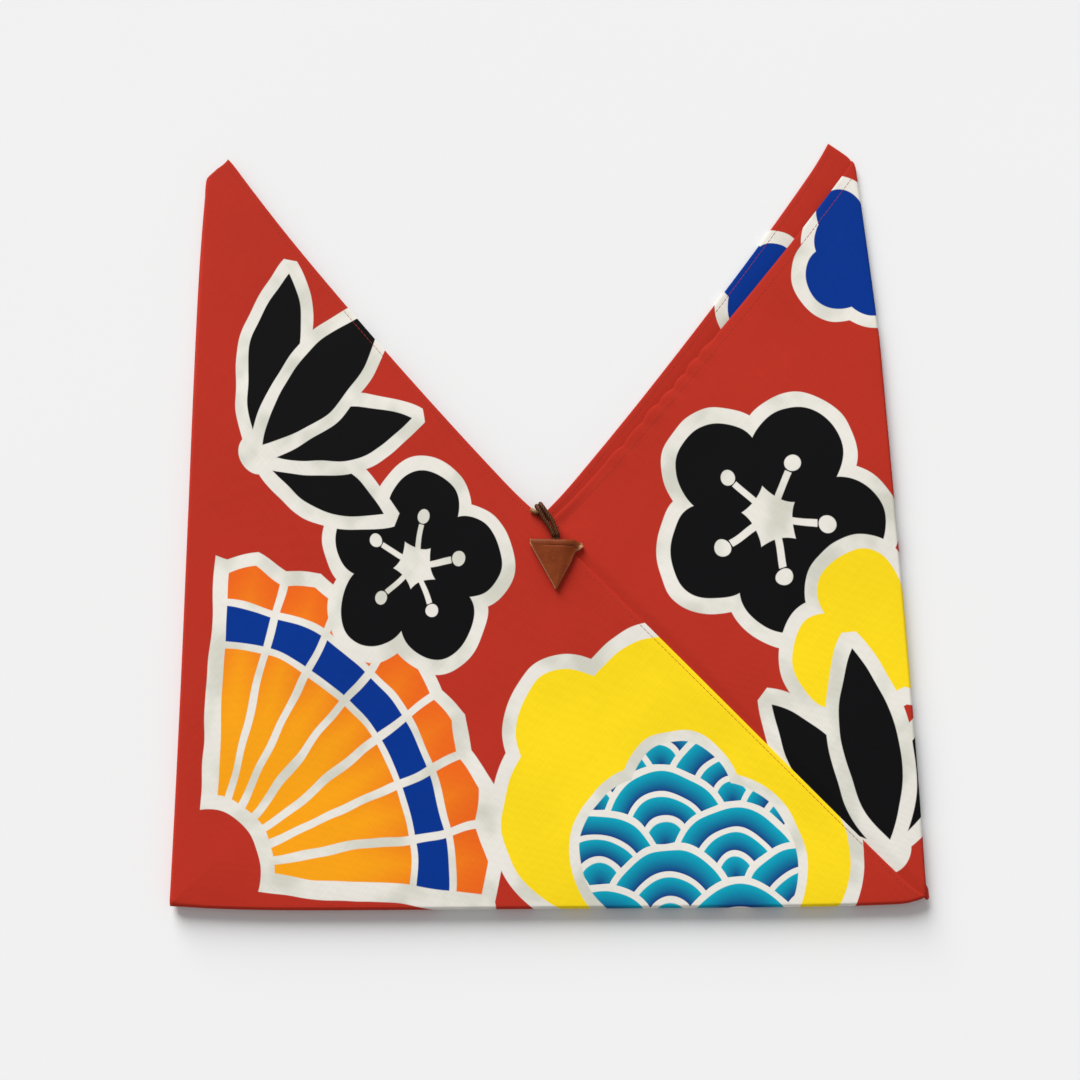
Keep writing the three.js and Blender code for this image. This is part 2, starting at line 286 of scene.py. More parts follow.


# Waxed cord: painted shade in the grooves between plies and painted highlight in fibre flecks on
# their crowns. Where it was cut, its bare core shows.
def waxed_cord():
    material, shader = finish_of("waxed_cord", roughness=0.55)
    ply = attribute(material, "ply")
    fibre = noise(on_piece(material), FIBRES, 3)
    colour = mottle(ply, 0.8, 0.95, CORD_GROOVE_SHADE, CORD_BROWN)
    # Painted highlight: pale flecks where the fibre noise meets the crowns of the plies
    highlight_flecks = times(spread(fibre, 0.5, 0.72), spread(ply, 0.86, 1.0))
    waxed = dye(highlight_flecks, colour, shade(CORD_CROWN_HIGHLIGHT))
    core = mottle(fibre, 0.35, 0.65, CORE_DARK, CORE_PALE)
    coat(shader, dye(attribute(material, "bare"), waxed, core), fibre, strength=0.5, depth=0.0002)
    return material


# Closed length of twisted cord. The last of it is pressed flat by some share, and bare gives how far
# each ring's wax is cut away.
def cord_length(name, path, pressed=0.0, bare=0.0):
    reached = length_along(path)
    places, faces = tube(path, CORD_SIDES, twisted)
    centres = np.repeat(path, CORD_SIDES, axis=0)
    ply = 2 * norm(places - centres, axis=1) / CORD
    share = pressed * ease(reached, reached[-1] - PRESS_REACH, reached[-1] - PRESS_REACH / 2)
    places[:, 2] += np.repeat(share, CORD_SIDES) * (centres[:, 2] - PRESS_BED - places[:, 2])
    made = piece(name, places, faces, cord_finish)
    # ply is how far the surface stands out across the plies; the material paints shade in the grooves and
    # highlight on the crowns from it
    mark_points(made, "ply", ply)
    mark_points(made, "bare", np.repeat(np.broadcast_to(bare, len(path)), CORD_SIDES))
    return made


# One strand of the doubled cord, set off to the side of the route that both follow. The strands part
# a little halfway between the hem and the tag.
def strand_path(route, offset):
    places = []
    for i, (x, y, z) in enumerate(route):
        parted = STRANDS_APART * math.exp(-((y - APART_PLACE) / APART_REACH) ** 2) * (z >= BEND_LOW.z)
        before, after = route[max(0, i - 1)], route[min(len(route) - 1, i + 1)]
        across = Vector((before[1] - after[1], after[0] - before[0])).normalized()
        side = math.copysign(offset, across.x * offset) * (1 + parted)
        places.append(on_bag(x + side * across.x, y + side * across.y, z))
    return smooth_path(places, CORD_STEP)


cord_finish = waxed_cord()
strands = []
for side, offset in (("left", -STRAND_SPACING / 2), ("right", STRAND_SPACING / 2)):
    path = strand_path(INNER_ROUTE + OUTER_ROUTE, offset)
    strand = cord_length(f"{side}_strand", path, pressed=PRESSED)
    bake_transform(strand)
    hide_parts(f"cord_{side}_inner", f"cord_{side}_outer")
    strands.append((strand, path))


# Cut tail of the cord: the short end left beyond the bend, its pale core showing where it was cut
# off. It lies on the hem beside the strands.
TAIL_ROUTE = [
    (-0.0062, 0.2508, 0.0136), (-0.0079, 0.2519, 0.0132),
    (-0.0097, 0.253, 0.0128), (-0.0114, 0.254, 0.0125),
]
TAIL_BARE = (-0.5, 1.9)
tail_path = smooth_path([on_bag(*place) for place in TAIL_ROUTE], CORD_STEP)
tail = cord_length("tail", tail_path, bare=np.clip(np.linspace(*TAIL_BARE, len(tail_path)), 0, 1))
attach(tail, "pouch")
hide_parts("cord_tail")


# Knot: the two strands end in a small overhand knot, drawn tight inside the fold of the tag. It is
# the same waxed cord, pulled thin.
KNOT_REACH = 0.0009
KNOT_CORD = 0.00096
KNOT_RINGS = 90
KNOT_SIDES = 10
KNOT_PLY = 0.9


def even(thickness):
    return lambda angles, travelled: np.full(len(angles), thickness / 2)


knot_low, knot_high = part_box("cord_knot")
turns = np.linspace(0, 2 * np.pi, KNOT_RINGS)
loops = np.column_stack([
    np.sin(turns) + 2 * np.sin(2 * turns), np.cos(turns) - 2 * np.cos(2 * turns), -np.sin(3 * turns),
]) * KNOT_REACH / 3
knot_path = loops + np.array((knot_low + knot_high) / 2)
knot = piece("knot", *tube(knot_path, KNOT_SIDES, even(KNOT_CORD)), cord_finish)
mark_points(knot, "ply", KNOT_PLY)
mark_points(knot, "bare", 0.0)
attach(knot, "cord")
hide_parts("cord_knot")


# Bar tack: close turns of red sewing thread round both strands, drawn up under the front hem to
# hold the cord inside the mouth.
THREAD = 0.0004
THREAD_SIDES = 6
THREAD_RED = "#B43D32"
THREAD_DARK = "#9C322A"
THREAD_FIBRES = 2600
TACK_TURNS = 6
TACK_STEPS = 40
TACK_SQUARENESS = 0.7
TACK_START = 0.0011
TACK_LENGTH = 0.0028
TACK_WIDTH = 0.0072
TACK_LIFT = 0.0009


# Sewing thread: twisted fibres, dull with slightly darker hollows
def sewing_thread():
    material, shader = finish_of("sewing_thread", roughness=0.75)
    fibre = noise(on_piece(material), THREAD_FIBRES)
    colour = mottle(fibre, 0.3, 0.75, THREAD_DARK, THREAD_RED)
    coat(shader, colour, fibre, strength=0.4, depth=0.0001)
    return material


thread = sewing_thread()
tack_low, tack_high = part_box("cord_tack")
tack_middle = (tack_low.z + tack_high.z + TACK_LIFT) / 2
tack_reach = (tack_high.z - tack_low.z + TACK_LIFT - THREAD) / 2
wound = np.linspace(0, 2 * np.pi * TACK_TURNS, TACK_STEPS * TACK_TURNS)
boxy = 1 / np.maximum(np.abs(np.cos(wound)), np.abs(np.sin(wound))) ** TACK_SQUARENESS
boxy /= boxy.max()
run = np.array(INNER_ROUTE[1][:2]) - np.array(INNER_ROUTE[0][:2])
run /= norm(run)
along = TACK_START + TACK_LENGTH * wound / wound[-1]
across = TACK_WIDTH / 2 * np.cos(wound) * boxy
tack_path = np.column_stack([
    FOLD_MIDDLE.x + INNER_ROUTE[0][0] + along * run[0] + across * run[1],
    FOLD_MIDDLE.y + INNER_ROUTE[0][1] + along * run[1] - across * run[0],
    tack_middle + tack_reach * np.sin(wound) * boxy,
])
tack = piece("bar_tack", *tube(tack_path, THREAD_SIDES, even(THREAD)), thread)
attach(tack, "pouch")
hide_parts("cord_tack")


# Tag: one lozenge of brown vegetable-tanned leather, 1.2 mm thick with raw cut edges, folded over
# the knot so that its leaves lie on each other as a triangle. The leaf behind stands out a little on
# the left, and its top right corner curls out past the drawn-in corner of the front one.
TAG_TOP = (0.005, 0.234)
TAG_WIDTH = 0.033
TAG_DROP = 0.032
LEATHER = 0.0012
LEAF_GAP = 0.0001
TAG_BORE = 0.00175
TAG_REST = 0.0123
TAG_SLOT = 0.0094
SLOT_TURN = 0.72
ROLL_SQUARENESS = 0.72
ROLL_FULL = 0.84
ROLL_TAPER = 0.24
TAPER_SPAN = (0.3, 1.0)
SIDE_FLATTENED = 0.28
FLATTENED_SPAN = (0.35, 1.0)
SIDE_DROOP = 0.0009
DROOP_REACH = (0.008, 0.0185)
TOP_TILT = 0.0009
BACK_LEAF_SHIFTS = (-0.0007, 0.0003)
CORNER_SPAN = (0.6, 1.0)
CORNER_DRAW = 0.0019
DRAW_SPAN = (0.55, 1.0)
CORNER_DROP = 0.0016
DROP_SPAN = (0.7, 1.0)
CORNER_CURL = 0.0033
CURL_LIFT = 0.001
CURL_SPAN = (0.86, 1.0)
CREASE_DEPTH = 0.00045
CREASE_PLACE = 0.0015
CREASE_WIDTH = 0.0004
CREASE_SPAN = (-0.7, 0.0)
TIP_SAG = 0.0006
TIP_REACH = 0.001
TIP_WIDTH = 0.02
# Painted shade along the fold, partly handling wear, that tones down the light on the roll: its share on
# the leaves near the fold and on the fold
LEAF_WEAR_AND_SHADE = 0.2
FOLD_WEAR_AND_SHADE = 0.25
WEAR_AND_SHADE_SPAN = (0.9, 1.0)
TAG_COLUMNS = 48
ROLL_ROWS = 25
LEAF_ROWS = 30
CURL_ROWS = 22
CUT_EDGE = 0.0002
CUT_EDGE_ANGLE = math.radians(50)
TAG_SHARP_ANGLE = math.radians(60)
LEATHER_BROWN = "#8A3E18"
LEATHER_DARK = "#783413"
LEATHER_PALE = "#974F24"
# Dark brown along the fold: part handling wear, part painted shade
LEATHER_WEAR_AND_SHADE = "#57260D"
LEATHER_RAW = "#C9946C"
LEATHER_RAW_DARK = "#A9754F"
LEATHER_GRAIN = 1900

roll = TAG_BORE + LEATHER / 2
roll_y = TAG_TOP[1] - TAG_BORE - LEATHER
tip_y = TAG_TOP[1] - TAG_DROP
front_z = TAG_REST + 1.5 * LEATHER + LEAF_GAP
back_z = TAG_REST + LEATHER / 2
tag_across = np.linspace(-1, 1, TAG_COLUMNS + 1)
fullness = ROLL_FULL - ROLL_TAPER * ease(np.abs(tag_across), *TAPER_SPAN)
fullness -= SIDE_FLATTENED * ease(tag_across, *FLATTENED_SPAN)
corner = ease(tag_across, *CORNER_SPAN)
back_shift = np.interp(tag_across, (-1, 1), BACK_LEAF_SHIFTS)
top_drop = TOP_TILT * (1 + tag_across) / 2 + CORNER_DROP * ease(tag_across, *DROP_SPAN)


# One row of places across the tag, with its right side drooping
def tag_row(x, y, z):
    drooped = z - SIDE_DROOP * ease(x, *DROOP_REACH)
    return np.array(FOLD_MIDDLE) + np.column_stack([TAG_TOP[0] + x, y, drooped])


# Row on the fold, at an angle that turns from the front leaf over to the back one
def fold_row(angle):
    out = abs(math.cos(angle)) ** ROLL_SQUARENESS
    up = math.copysign(abs(math.sin(angle)) ** ROLL_SQUARENESS, math.sin(angle))
    passed = 0.5 - up / 2
    x = TAG_WIDTH / 2 * tag_across + corner * (CORNER_CURL * passed - CORNER_DRAW)
    x += back_shift * passed * (1 - corner)
    return tag_row(x, roll_y + roll * out - top_drop, back_z + roll * fullness * (1 + up))


# Row on a leaf, some share of the way up from its tip. Both leaves sag to the cloth at the tip. Most
# of the front leaf has a crease just under the fold.
def leaf_row(share, front):
    x = TAG_WIDTH / 2 * max(share, TIP_WIDTH) * tag_across
    x -= CORNER_DRAW * corner * ease(share, *DRAW_SPAN)
    y = tip_y + (roll_y - tip_y) * share - TIP_REACH * (1 - share)
    sag = TIP_SAG * (1 - share)
    if front:
        from_crease = (roll_y - y - CREASE_PLACE) / CREASE_WIDTH
        crease = math.exp(-from_crease ** 2) * ease(tag_across, *CREASE_SPAN)
        z = front_z - sag + (back_z + 2 * roll * fullness - front_z) * share - CREASE_DEPTH * crease
    else:
        curl = corner * ease(share, *CURL_SPAN)
        x += back_shift * (1 - curl) + CORNER_CURL * curl
        z = back_z - sag + CURL_LIFT * curl
    return tag_row(x, y - top_drop * ease(share, *DROP_SPAN), z)


# Tanned leather: fine grain, slightly cloudy, darkened along the fold, part handling wear and part
# painted shade that tones down the light falling on the top of the roll
def tanned_leather():
    material, shader = finish_of("tanned_leather", roughness=0.5)
    place = on_piece(material)
    grain = node("TexVoronoi", {"Scale": LEATHER_GRAIN, "Vector": place}, feature="DISTANCE_TO_EDGE")
    colour = mottle(noise(place, 110, 3), 0.3, 0.7, LEATHER_DARK, LEATHER_BROWN)
    colour = dye(spread(noise(place, 700, 3), 0.5, 0.85), colour, shade(LEATHER_PALE))
    creases = spread(grain.outputs["Distance"], 0.0, 0.1, 0.55, 1.0)
    colour = dye(creases, shade(LEATHER_DARK), colour)
    # Painted shade along the fold, partly handling wear
    colour = dye(attribute(material, "wear_and_shade"), colour, shade(LEATHER_WEAR_AND_SHADE))
    coat(shader, colour, creases, strength=0.25, depth=0.0001)
    return material


# Flesh side and raw cut edge of the leather: pale, with loose fibres
def raw_leather():
    material, shader = finish_of("raw_leather", roughness=0.88)
    fibre = noise(on_piece(material), FIBRES, 3)
    colour = mottle(fibre, 0.3, 0.7, LEATHER_RAW_DARK, LEATHER_RAW)
    coat(shader, colour, fibre, strength=0.6, depth=0.0002)
    return material


# Turns a modifier on a piece into its mesh
def settle(made, kind, **settings):
    modifier = made.modifiers.new(kind.lower(), kind)
    set_up(modifier, settings)
    bpy.context.view_layer.objects.active = made
    bpy.ops.object.modifier_apply(modifier=modifier.name)


leaf_shares = np.linspace(0, CURL_SPAN[0], LEAF_ROWS)
leaf_shares = np.append(leaf_shares, np.linspace(*CURL_SPAN, CURL_ROWS)[1:])
fold_angles = np.radians(np.linspace(90, -90, ROLL_ROWS)[1:-1])
tag_rows = [leaf_row(share, front=True) for share in leaf_shares]
tag_rows += [fold_row(angle) for angle in fold_angles]
tag_rows += [leaf_row(share, front=False) for share in leaf_shares[::-1]]
slot_rows = np.pad(np.cos(fold_angles) > SLOT_TURN, len(leaf_shares))[:-1]
slot_columns = np.abs(tag_across[1:] + tag_across[:-1]) / 2 * TAG_WIDTH < TAG_SLOT
in_slot = np.outer(slot_rows, slot_columns).ravel()
tag_faces = grid_faces(len(tag_rows), len(tag_across))
tag_faces = [face for face, cut_out in zip(tag_faces, in_slot) if not cut_out]
# Painted shade along the fold, partly handling wear: strongest on the fold's outer edge, which faces the
# light
wear_and_shade = LEAF_WEAR_AND_SHADE * ease(leaf_shares, *WEAR_AND_SHADE_SPAN)
wear_and_shade = np.concatenate([wear_and_shade, LEAF_WEAR_AND_SHADE + FOLD_WEAR_AND_SHADE * np.cos(fold_angles), wear_and_shade[::-1]])

tag = piece("leather_tag", np.vstack(tag_rows), tag_faces, tanned_leather(), raw_leather())
mark_points(tag, "wear_and_shade", np.repeat(wear_and_shade, len(tag_across)))
settle(tag, "SOLIDIFY", thickness=LEATHER, offset=0.0, material_offset=1, material_offset_rim=1)
settle(tag, "BEVEL", width=CUT_EDGE, segments=2, limit_method="ANGLE", angle_limit=CUT_EDGE_ANGLE)
tag.data.set_sharp_from_angle(angle=TAG_SHARP_ANGLE)
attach(tag, "tag")
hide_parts("tag_leather")

# Length of each strand along its path, paired with what it carries: the left one ends in the cut tail,
# the right one holds the knotted tag
for (strand, path), carried in zip(strands, ([tail], [knot, tag])):
    float(length_along(path)[-1])


# Cloth: one strip of printed plain-weave cotton, 340 mm by 1000 mm, folded slantwise round the
# bottom and both sides so that its ends stand up as ears. It is made as the two halves that meet
# along the bottom fold. Each half is a main panel on one face and a wing panel on the other.
CLOTH_WIDTH = 0.340
BOTTOM_WIDTH = CLOTH_WIDTH * math.sqrt(2)
TO_SEAM_CORNER = 2 * CLOTH_WIDTH
BLUNT = 0.020
TO_FOLD_CORNER = CLOTH_WIDTH - BLUNT
STRIP_LENGTH = TO_SEAM_CORNER + TO_FOLD_CORNER
APEX = np.array((-0.0048, 0.247))
MOUTH_EDGE = 0.336
MOUTH_BOW = 0.004
WING_STEP = 0.007
SIDE_BOW_REACH = 0.15
BOTTOM_BOW = 0.003102
BOW_LEAN = 0.234
BOW_SQUARENESS = 6
BOW_REACH = 0.2
STRETCH = 0.004
HAIRBREADTH = 1e-6


# Plan of one half: the ear that it runs up into, and the corners of its main and wing panels
def half_of_cloth(name, side, rise, side_bow, face):
    half = SimpleNamespace(name=name, ear=f"{name}_ear", side=side, face=face, bow=side_bow)
    half.main_face, half.wing_face = ("front", "back")[::face]
    angle = math.radians(rise)
    half.outwards = np.array((side * math.sin(angle), -math.cos(angle)))
    half.tip = APEX + MOUTH_EDGE * np.array((side * math.cos(angle), math.sin(angle)))
    half.shoulder = half.tip + half.outwards * BLUNT
    half.fold_corner = np.array((side * BOTTOM_WIDTH / 2, 0.0))
    half.seam_corner = -half.fold_corner
    share = BLUNT / CLOTH_WIDTH
    half.point = (half.shoulder - share * half.fold_corner) / (1 - share)
    half.wing_start = APEX + half.outwards * WING_STEP
    return half


left_half = half_of_cloth("left", -1, rise=49.6, side_bow=0.001, face=1)
right_half = half_of_cloth("right", 1, rise=52.9, side_bow=0.004, face=-1)

# Places that the pressing has drawn out of true, each with its shift and how far that reaches
left_half.drawn = (
    (left_half.shoulder, (0.0002, -0.0002), 0.0033),
    ((left_half.tip + left_half.shoulder) / 2, (-0.0004, 0.0005), 0.013),
    (left_half.tip, (-0.0012, 0.0005), 0.008), (left_half.tip, (0.0017, 0.0007), 0.1),
)
right_half.drawn = (
    (right_half.shoulder, (-0.0007, -0.0002), 0.012), (right_half.shoulder, (-0.0007, -0.0012), 0.005),
    (right_half.tip, (-0.0016, 0.0006), 0.026),
    ((0.222, 0.37), (0.0016, 0.0), 0.16), (right_half.tip, (0.001, 0.0), 0.2),
    (APEX, (-0.0018, 0.0), 0.16),
)
BOTH_DRAWN = (
    (APEX, (0.0, 0.0028), 0.035), (left_half.fold_corner, (-0.0021, -0.0004), 0.2),
    (right_half.fold_corner, (0.0, 0.0042), 0.018),
)


# Shallow bow over a length, at a share of it
def bowed(share):
    return 4 * share * (1 - share)


# Long edge of the main panel in plan: down the mouth from the ear's tip, then along the seam
def long_edge(half, u):
    t = 1 - u / MOUTH_EDGE
    mouth = APEX + np.outer(t, half.tip - APEX) + np.outer(MOUTH_BOW * bowed(t), half.outwards)
    down_seam = (u - MOUTH_EDGE) / (TO_SEAM_CORNER - MOUTH_EDGE)
    seam = APEX + np.outer(down_seam, half.seam_corner - APEX)
    return np.where((u <= MOUTH_EDGE)[:, None], mouth, seam)


def side_edge(half, y):
    share = y / half.shoulder[1]
    corner_x = half.fold_corner[0]
    straight = corner_x + (half.shoulder[0] - corner_x) * share
    return straight + half.side * half.bow * bowed(np.clip(share, 0, 1))


# Shape that the pressed bag has taken: places on it are drawn in or out, it is stretched a little
# away from the point of the V, and its bottom fold bows outwards
def settled(half, place):
    for middle, shift, reach in half.drawn + BOTH_DRAWN:
        near = np.clip(1 - norm(place - middle, axis=1) / reach, 0, 1)
        place = place + np.outer(near ** 2, shift)
    x, y = place.T
    share = np.clip(x / (BOTTOM_WIDTH / 2), -1, 1)
    bow = BOTTOM_BOW * (1 - share ** BOW_SQUARENESS) * (1 - BOW_LEAN * share)
    bow *= np.clip(1 - y / BOW_REACH, 0, 1) ** 2
    return np.column_stack([x, y + STRETCH * (y - APEX[1]) - bow])


# Scallops along the front wing's hem, where the stitching has drawn it up halfway down the mouth
SCALLOP_DEPTH = 0.0018
SCALLOP_PITCH = 0.0158
SCALLOP_ROUNDNESS = 0.8
SCALLOP_DRIFT = 0.004
DRIFT_LENGTH = 0.017
SCALLOP_VARIETY = 0.3
VARIETY_LENGTH = 0.0073
GATHERED_FROM = (0.46, 0.53)
GATHERED_TO = (0.77, 0.85)
WING_STITCH = 0.006


def scallops(half, v):
    share = (v - BLUNT) / TO_FOLD_CORNER
    gathered = ease(share, *GATHERED_FROM) * (1 - ease(share, *GATHERED_TO)) * (half is right_half)
    uneven = v + SCALLOP_DRIFT * np.sin(v / DRIFT_LENGTH)
    arches = np.abs(np.sin(np.pi * uneven / SCALLOP_PITCH)) ** SCALLOP_ROUNDNESS
    return gathered * (arches - 0.5 + SCALLOP_VARIETY * np.sin(v / VARIETY_LENGTH))


# Where a point of the strip, u along it and v across it, lies in plan
def plan(half, u, v):
    across = v / CLOTH_WIDTH
    edge_length = TO_SEAM_CORNER + BLUNT
    to_seam = (u + BLUNT - v) / edge_length
    to_point = 1 - across - to_seam
    main = np.column_stack([to_point, to_seam, across]) @ (half.point, half.seam_corner, half.fold_corner)
    left_over = to_seam + to_point
    foot = np.where(left_over > HAIRBREADTH, to_seam / np.maximum(left_over, HAIRBREADTH), 0)
    foot = np.clip(foot, 0, 1)
    foot_u = foot * edge_length - BLUNT
    edge = half.seam_corner - half.point
    pull = long_edge(half, np.maximum(foot_u, 0)) - half.point - np.outer(foot, edge)
    tip_straight = half.point + edge * BLUNT / edge_length
    tip_pull = np.outer((foot_u + BLUNT) / BLUNT, half.tip - tip_straight)
    pull = np.where((foot_u < 0)[:, None], tip_pull, pull)
    main += pull * np.clip(1 - across, 0, 1)[:, None]

    to_shoulder = (CLOTH_WIDTH - v) / TO_FOLD_CORNER
    to_fold = u / TO_FOLD_CORNER
    to_apex = 1 - to_shoulder - to_fold
    shares = np.column_stack([to_shoulder, to_fold, to_apex])
    wing = shares @ (half.shoulder, half.fold_corner, half.wing_start)
    hem_share = np.clip((v - BLUNT) / TO_FOLD_CORNER, 0, 1)
    hem_pull = MOUTH_BOW * bowed(hem_share) * np.clip(1 - to_fold, 0, 1) ** 3
    hem_pull -= SCALLOP_DEPTH * scallops(half, v) * (1 - ease(u, 0, WING_STITCH))
    wing += np.outer(hem_pull, half.outwards)

    place = np.where((u < v - BLUNT - HAIRBREADTH / 1000)[:, None], wing, main)
    share = np.clip(place[:, 1] / half.shoulder[1], 0, 1)
    straight_edge = half.fold_corner[0] + (half.shoulder[0] - half.fold_corner[0]) * share
    inset = np.clip(1 - half.side * (straight_edge - place[:, 0]) / SIDE_BOW_REACH, 0, 1)
    place[:, 0] += half.side * half.bow * bowed(share) * inset ** 2
    return place


# How much thicker the cloth is where a hem is turned, and how it thins to the very edge
CLOTH = 0.0005
HEM = 0.0011
MOUTH_HEM = 0.0046
WING_HEM = 0.0068
HEM_SLOPE = (-0.001, 0.0014)
EDGE_ROUNDING = (-0.0006, 0.0013)


def hem_build(u, v):
    on_wing_hem = 1 - ease(u - WING_HEM, *HEM_SLOPE)
    on_mouth_hem = 1 - ease(v - MOUTH_HEM, *HEM_SLOPE)
    return (HEM - CLOTH) * np.maximum(on_wing_hem, on_mouth_hem)


def thickness(u, v):
    return (CLOTH + hem_build(u, v)) * (1 + ease(np.minimum(u, v), *EDGE_ROUNDING)) / 2


# Soft unevenness of cloth that was pressed, folded and laid down: long swells, each with its length,
# heading and size
SWELLS = (
    (0.094, 0.35, 0.4), (0.061, 1.9, 0.25), (0.143, 1.1, 0.55), (0.037, 2.6, 0.14), (0.21, 0.8, 0.5))
SWELL_SHIFT = 700
FRONT_SWELL = 0.0003
SWELL_INSET = 0.05
BACK_SWELL = 0.0001
BACK_PHASE = 2.0


def unevenness(x, y, phase):
    total = 0
    for length, heading, size in SWELLS:
        along = x * math.cos(heading) + y * math.sin(heading)
        total += size * np.sin(2 * np.pi * along / length + phase + SWELL_SHIFT * length)
    return total


# Middle surface of the cloth at points of the strip: rounded folds at the sides and the bottom, ears
# that fall away past the crease, a swell under the tag, and hems and seams that stand up or are
# pressed in. The front wing's hem dips beside the cord.
CREASE = 0.268
TOP = 0.0097
REST = 0.0009
FOLD_DEPTH = 0.0021
FOLD_FULLNESS = 2.2
FOLD_SLANT = 0.69
EAR_FALL = 0.0202
FALL_ROUNDING = 0.03
SIDE_SINK = 0.0012
SINK_REACH = 0.018
TAG_RISE = 0.0009
TAG_MIDDLE = (0.003, 0.226)
TAG_RISE_REACH = 0.06
MOUTH_RISE = 0.0004
MOUTH_RISE_SPAN = (0.004, 0.03)
SEAM_RISE = 0.00035
SEAM_RISE_WIDTH = 0.02
SEAM_RISE_START = (-0.02, 0.01)
LAP_DIP = 0.00095
LAP_DIP_SPAN = (0.0005, 0.007)
FLUTTER = 0.0006
FLUTTER_SPAN = (0.002, 0.012)
HEM_DIP = 0.0011
DIP_INSET = 0.0068
DIP_WIDTHS = (0.004, 0.014)
DIP_START = (0.0035, 0.0085)
DIP_FADE = (0.01, 0.05)


def surface(half, u, v):
    place = plan(half, u, v)
    x, y = place.T
    other = right_half if half is left_half else left_half
    on_wing = u < v - BLUNT
    face = np.where(on_wing, -half.face, half.face)
    own_side = FOLD_SLANT * np.where(v < BLUNT, np.hypot(u, BLUNT - v), np.abs(u - v + BLUNT))
    other_side = np.clip(other.side * (side_edge(other, y) - x), 0, None)
    rounding = np.ones_like(x)
    nearest = np.ones_like(x)
    for distance in (own_side, other_side, np.clip(y, 0, None)):
        flat = 1 - np.clip(distance / FOLD_DEPTH, 0, 1)
        rounding *= (1 - flat ** FOLD_FULLNESS) ** (1 / FOLD_FULLNESS)
        nearest = np.minimum(nearest, distance)
    past_crease = y - CREASE
    front = TOP - EAR_FALL * (past_crease + np.hypot(past_crease, FALL_ROUNDING)) / 2
    front -= SIDE_SINK * np.exp(-nearest / SINK_REACH)
    front += FRONT_SWELL * unevenness(x, y, 0.0) * ease(nearest, 0, SWELL_INSET)
    from_tag = norm(place - TAG_MIDDLE, axis=1)
    front += TAG_RISE * np.exp(-(from_tag / TAG_RISE_REACH) ** 2)
    at_mouth = (1 - ease(v, *MOUTH_RISE_SPAN)) * (1 - on_wing)
    back = REST + BACK_SWELL * unevenness(x, y, BACK_PHASE) + MOUTH_RISE * at_mouth
    height = (front + back) / 2 + face * (front - back) / 2 * rounding

    turned_up = np.where(on_wing & (face < 0), 1, -1)
    height += turned_up * hem_build(u, v) / 2
    on_seam = (1 - ease(v, MOUTH_HEM, SEAM_RISE_WIDTH)) * (1 - on_wing)
    rise = SEAM_RISE * on_seam * ease(u - MOUTH_EDGE, *SEAM_RISE_START) * (face > 0)
    along = (other.seam_corner - APEX) / norm(other.seam_corner - APEX)
    from_seam = (x - APEX[0]) * along[1] - (y - APEX[1]) * along[0]
    clear_of_lap = other.side * from_seam
    under_lap = (1 - ease(clear_of_lap, *LAP_DIP_SPAN)) * on_wing
    flutter = FLUTTER * scallops(half, v) * (1 - ease(u, *FLUTTER_SPAN))
    from_apex = norm(place - APEX, axis=1)
    dip_width = np.where(u < DIP_INSET, *DIP_WIDTHS)
    dip = HEM_DIP * np.exp(-((u - DIP_INSET) / dip_width) ** 2) * (1 - ease(from_apex, *DIP_FADE))
    dip *= ease(clear_of_lap, *DIP_START)
    height += face * (rise - LAP_DIP * under_lap) * rounding
    height += (flutter - dip) * (on_wing & (face > 0))
    return np.column_stack([settled(half, place) + np.array(FOLD_MIDDLE.xy), height])


# Stations across a width: fine steps at both ends, even ones between
HEM_STEPS = np.array((0, 0.4, 1.0, 1.9, 2.9, 3.6, 4.3, 5.0, 5.8, 6.8, 8.2, 10, 13)) / 1000
FOLD_STEPS = FOLD_DEPTH / FOLD_SLANT * np.concatenate([
    1 - np.cos(np.radians(np.linspace(0, 90, 9))), [1.3, 1.8, 2.5, 3.4]])
STEP_ROOM = 1.3


def stations(start, end, lead, trail, count):
    room = end - start
    scale = min(1.0, room / (STEP_ROOM * (lead[-1] + trail[-1]))) if room > 0 else 0.0
    first, last = start + lead * scale, end - trail[::-1] * scale
    return np.concatenate([first, np.linspace(first[-1], last[0], count + 2)[1:-1], last])


# Tells the print where each vertex lies on the strip
def lay_print(made, strip_u, strip_v):
    layer = made.data.uv_layers.new(name="strip")
    corners = np.zeros(len(made.data.loops), int)
    made.data.loops.foreach_get("vertex_index", corners)
    layer.data.foreach_set("uv", np.column_stack([strip_u[corners], strip_v[corners]]).ravel())


# Mesh of one half: rows across the strip, each from the wing's hem round the side fold and over
# the main panel to the bottom fold, with finer faces where the ear bends
SHOULDER_STEPS = np.array((-5.5, -4, -2.8, -1.8, -0.9, 0, 0.9, 2, 3.5, 5.5, 8, 11)) / 1000
ROW_BANDS = ((0.035, 0.16, 26), (0.16, 0.3, 93), (0.3, 0.33, 8), (0.33, CLOTH_WIDTH, 4))
LAP_STEPS = np.array((0, 0.003, 0.006, 0.010))
LAP_SLANT = 1.2
WING_STATIONS = 46
MAIN_STATIONS = 100
WELD = 2e-6
EAR_BEND = 0.024
BEND_MARGIN = 0.003
BEND_CUTS = 3
CLOTH_SHARP_ANGLE = math.radians(70)
CREASE_LOW = on_bag(0, CREASE, 0)
CREASE_HIGH = on_bag(0, CREASE + EAR_BEND, 0)


